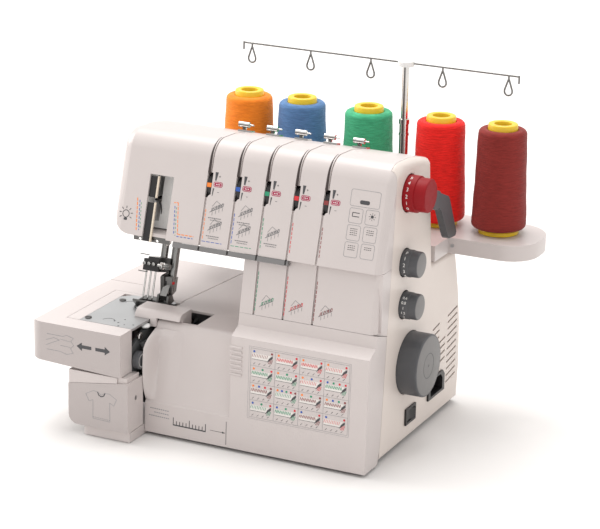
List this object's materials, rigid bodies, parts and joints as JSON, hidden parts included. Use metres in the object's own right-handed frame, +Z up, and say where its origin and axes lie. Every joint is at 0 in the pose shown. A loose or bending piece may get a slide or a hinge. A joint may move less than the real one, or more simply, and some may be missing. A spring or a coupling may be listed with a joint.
{
  "type": "serger overlock machine",
  "caption": "Free-arm overlock and cover-stitch sewing machine with a sliding table, opening looper cover, side dials, handwheel, telescopic thread mast and thread cones on a rear tray.",
  "frame": {"origin": "on the floor, under the middle of the machine's overall width and depth", "axes": "+X to the right as the user sits in front, +Y to the back, +Z up"},
  "size_m": [0.365, 0.2566, 0.298],
  "materials": {
    "body_plastic": "moulded warm off-white plastic, satin",
    "side_plastic": "moulded warm off-white plastic, fine satin",
    "dark_grey_plastic": "moulded dark grey plastic",
    "grey_plastic": "moulded mid grey plastic",
    "red_plastic": "moulded burgundy plastic",
    "black_plastic": "black plastic, light texture",
    "white_plastic": "white nylon",
    "rubber": "soft grey-black rubber",
    "casting": "cast aluminium, painted light grey",
    "steel": "ground steel",
    "chrome": "bright plated steel",
    "lamp_lens": "frosted lamp lens",
    "thread_orange": "cross-wound polyester thread",
    "thread_blue": "cross-wound polyester thread",
    "thread_green": "cross-wound polyester thread",
    "thread_red": "cross-wound polyester thread",
    "thread_brown": "cross-wound polyester thread"
  },
  "bodies": {
    "machine": {"base_pan": "body_plastic", "rubber_feet": "rubber", "frame_casting": "casting", "right_casing": "side_plastic", "front_casing": "body_plastic", "column_casing": "body_plastic", "rear_casing": "body_plastic", "bed_casing": "body_plastic", "free_arm_casing": "body_plastic", "block_cover": "body_plastic", "needle_plate": "steel", "lower_knife": "steel", "led_lamp": "lamp_lens", "slot_liner": "grey_plastic", "head_thread_guide": "chrome", "arm_thread_rail": "grey_plastic", "top_thread_guides": "chrome", "spool_tray": "body_plastic", "spool_pins": "white_plastic", "mast_tube_lower": "chrome", "motor": "black_plastic", "drive_belt": "rubber", "power_inlet": "black_plastic", "switch_bezel": "black_plastic", "casing_screws": "steel", "looper_cap": "body_plastic", "thread_cone_1": "thread_orange", "thread_cone_2": "thread_blue", "thread_cone_3": "thread_green", "thread_cone_4": "thread_red", "thread_cone_5": "thread_brown"},
    "drive_shaft": {"handwheel": "dark_grey_plastic", "main_shaft": "steel"},
    "rotor": {"motor_rotor": "steel"},
    "needle_unit": {"needle_bar": "chrome", "needle_clamp": "black_plastic", "needles": "chrome"},
    "take_up": {"take_up_lever": "black_plastic"},
    "upper_looper": {"upper_looper": "chrome"},
    "lower_looper": {"lower_looper": "chrome"},
    "upper_knife": {"upper_knife": "dark_grey_plastic"},
    "feed": {"feed_dogs": "steel"},
    "presser_lever": {"presser_lever": "dark_grey_plastic"},
    "presser_bar": {"presser_bar": "chrome"},
    "presser_foot": {"presser_foot": "steel"},
    "red_dial": {"red_dial": "red_plastic"},
    "stitch_length_dial": {"stitch_length_dial": "dark_grey_plastic"},
    "differential_dial": {"differential_dial": "dark_grey_plastic"},
    "rocker": {"rocker_switch": "black_plastic"},
    "width_knob": {"width_knob": "dark_grey_plastic"},
    "cover_hinge": {"cover_hinge": "steel"},
    "front_cover": {"front_cover": "body_plastic"},
    "table": {"sewing_table": "body_plastic"},
    "mast_upper": {"mast_tube_upper": "chrome"},
    "thread_guide": {"thread_guide_bar": "chrome"},
    "tension_wheel_1": {"tension_wheel_1": "black_plastic"},
    "tension_wheel_2": {"tension_wheel_2": "black_plastic"},
    "tension_wheel_3": {"tension_wheel_3": "black_plastic"},
    "tension_wheel_4": {"tension_wheel_4": "black_plastic"},
    "tension_wheel_5": {"tension_wheel_5": "black_plastic"}
  },
  "joints": [
    {"name": "handwheel_turn", "type": "hinge", "parent": "machine", "child": "drive_shaft", "pos_m": [0.1115, -0.01575, 0.072], "axis": [1, 0, 0], "continuous": true},
    {"name": "motor_turn", "type": "hinge", "parent": "machine", "child": "rotor", "pos_m": [0.0995, 0.05025, 0.054], "axis": [1, 0, 0], "continuous": true},
    {"name": "needle_stroke", "type": "slide", "parent": "machine", "child": "needle_unit", "axis": [0, 0.2857, 0.9583], "range_m": [-0.013, 0.013]},
    {"name": "take_up_swing", "type": "hinge", "parent": "machine", "child": "take_up", "pos_m": [-0.1, -0.02513, 0.18785], "axis": [1, 0, 0], "range_deg": [-18, 18]},
    {"name": "upper_looper_swing", "type": "hinge", "parent": "machine", "child": "upper_looper", "pos_m": [-0.077, -0.0458, 0.082], "axis": [0, 1, 0], "range_deg": [-18.5, 18.5]},
    {"name": "lower_looper_swing", "type": "hinge", "parent": "machine", "child": "lower_looper", "pos_m": [-0.0855, -0.0458, 0.038], "axis": [0, 1, 0], "range_deg": [-13, 13]},
    {"name": "upper_knife_swing", "type": "hinge", "parent": "machine", "child": "upper_knife", "pos_m": [-0.0962, -0.0918, 0.076], "axis": [1, 0, 0], "range_deg": [-3.8, 3.8]},
    {"name": "feed_creep", "type": "slide", "parent": "machine", "child": "feed", "axis": [0, 1, 0], "range_m": [-0.0013, 0.0013]},
    {"name": "presser_lever_turn", "type": "hinge", "parent": "machine", "child": "presser_lever", "pos_m": [0.1165, 0.00625, 0.206], "axis": [1, 0, 0], "range_deg": [0, 60]},
    {"name": "presser_lift", "type": "slide", "parent": "machine", "child": "presser_bar", "axis": [0, 0.2857, 0.9583], "range_m": [0, 0.0061]},
    {"name": "presser_foot_tilt", "type": "hinge", "parent": "presser_bar", "child": "presser_foot", "pos_m": [-0.103, -0.0398, 0.1], "axis": [1, 0, 0], "range_deg": [-8, 0]},
    {"name": "red_dial_turn", "type": "hinge", "parent": "machine", "child": "red_dial", "pos_m": [0.1115, -0.02675, 0.219], "axis": [1, 0, 0], "range_deg": [0, 270]},
    {"name": "stitch_length_turn", "type": "hinge", "parent": "machine", "child": "stitch_length_dial", "pos_m": [0.1115, -0.03075, 0.162], "axis": [1, 0, 0], "range_deg": [0, 270]},
    {"name": "differential_turn", "type": "hinge", "parent": "machine", "child": "differential_dial", "pos_m": [0.1115, -0.02975, 0.126], "axis": [1, 0, 0], "range_deg": [0, 270]},
    {"name": "tension_1_turn", "type": "hinge", "parent": "machine", "child": "tension_wheel_1", "pos_m": [-0.0491, -0.05086, 0.2083], "axis": [1, 0, 0], "range_deg": [-150, 150]},
    {"name": "tension_2_turn", "type": "hinge", "parent": "machine", "child": "tension_wheel_2", "pos_m": [-0.0229, -0.05086, 0.2083], "axis": [1, 0, 0], "range_deg": [-150, 150]},
    {"name": "tension_3_turn", "type": "hinge", "parent": "machine", "child": "tension_wheel_3", "pos_m": [0.0033, -0.05086, 0.2083], "axis": [1, 0, 0], "range_deg": [-150, 150]},
    {"name": "tension_4_turn", "type": "hinge", "parent": "machine", "child": "tension_wheel_4", "pos_m": [0.0295, -0.05086, 0.2083], "axis": [1, 0, 0], "range_deg": [-150, 150]},
    {"name": "tension_5_turn", "type": "hinge", "parent": "machine", "child": "tension_wheel_5", "pos_m": [0.0557, -0.05086, 0.2083], "axis": [1, 0, 0], "range_deg": [-150, 150]},
    {"name": "rocker_tilt", "type": "hinge", "parent": "machine", "child": "rocker", "pos_m": [0.11, -0.01075, 0.025], "axis": [0, 0, 1], "range_deg": [0, 14]},
    {"name": "width_knob_turn", "type": "hinge", "parent": "machine", "child": "width_knob", "pos_m": [-0.0962, -0.10275, 0.066], "axis": [1, 0, 0], "range_deg": [-90, 90]},
    {"name": "cover_slide", "type": "slide", "parent": "machine", "child": "cover_hinge", "axis": [1, 0, 0], "range_m": [0, 0.008]},
    {"name": "cover_swing", "type": "hinge", "parent": "cover_hinge", "child": "front_cover", "pos_m": [-0.0288, -0.09375, 0.0095], "axis": [1, 0, 0], "range_deg": [0, 85]},
    {"name": "table_slide", "type": "slide", "parent": "machine", "child": "table", "axis": [-1, 0, 0], "range_m": [0, 0.1]},
    {"name": "mast_slide", "type": "slide", "parent": "machine", "child": "mast_upper", "axis": [0, 0, 1], "range_m": [-0.018, 0]},
    {"name": "guide_swivel", "type": "hinge", "parent": "mast_upper", "child": "thread_guide", "pos_m": [0.0555, 0.09025, 0.295], "axis": [0, 0, 1], "range_deg": [-90, 90]}
  ],
  "couplings": [
    {"joint": "motor_turn", "follows": "handwheel_turn", "ratio": 2.5},
    {"joint": "take_up_swing", "follows": "needle_stroke", "rad_per_m": -23.5},
    {"joint": "upper_looper_swing", "follows": "needle_stroke", "rad_per_m": 24.1},
    {"joint": "lower_looper_swing", "follows": "needle_stroke", "rad_per_m": -16.5},
    {"joint": "upper_knife_swing", "follows": "needle_stroke", "rad_per_m": 4.7},
    {"joint": "feed_creep", "follows": "needle_stroke", "ratio": 0.0923},
    {"joint": "presser_lift", "follows": "presser_lever_turn", "m_per_rad": 0.00573}
  ]
}
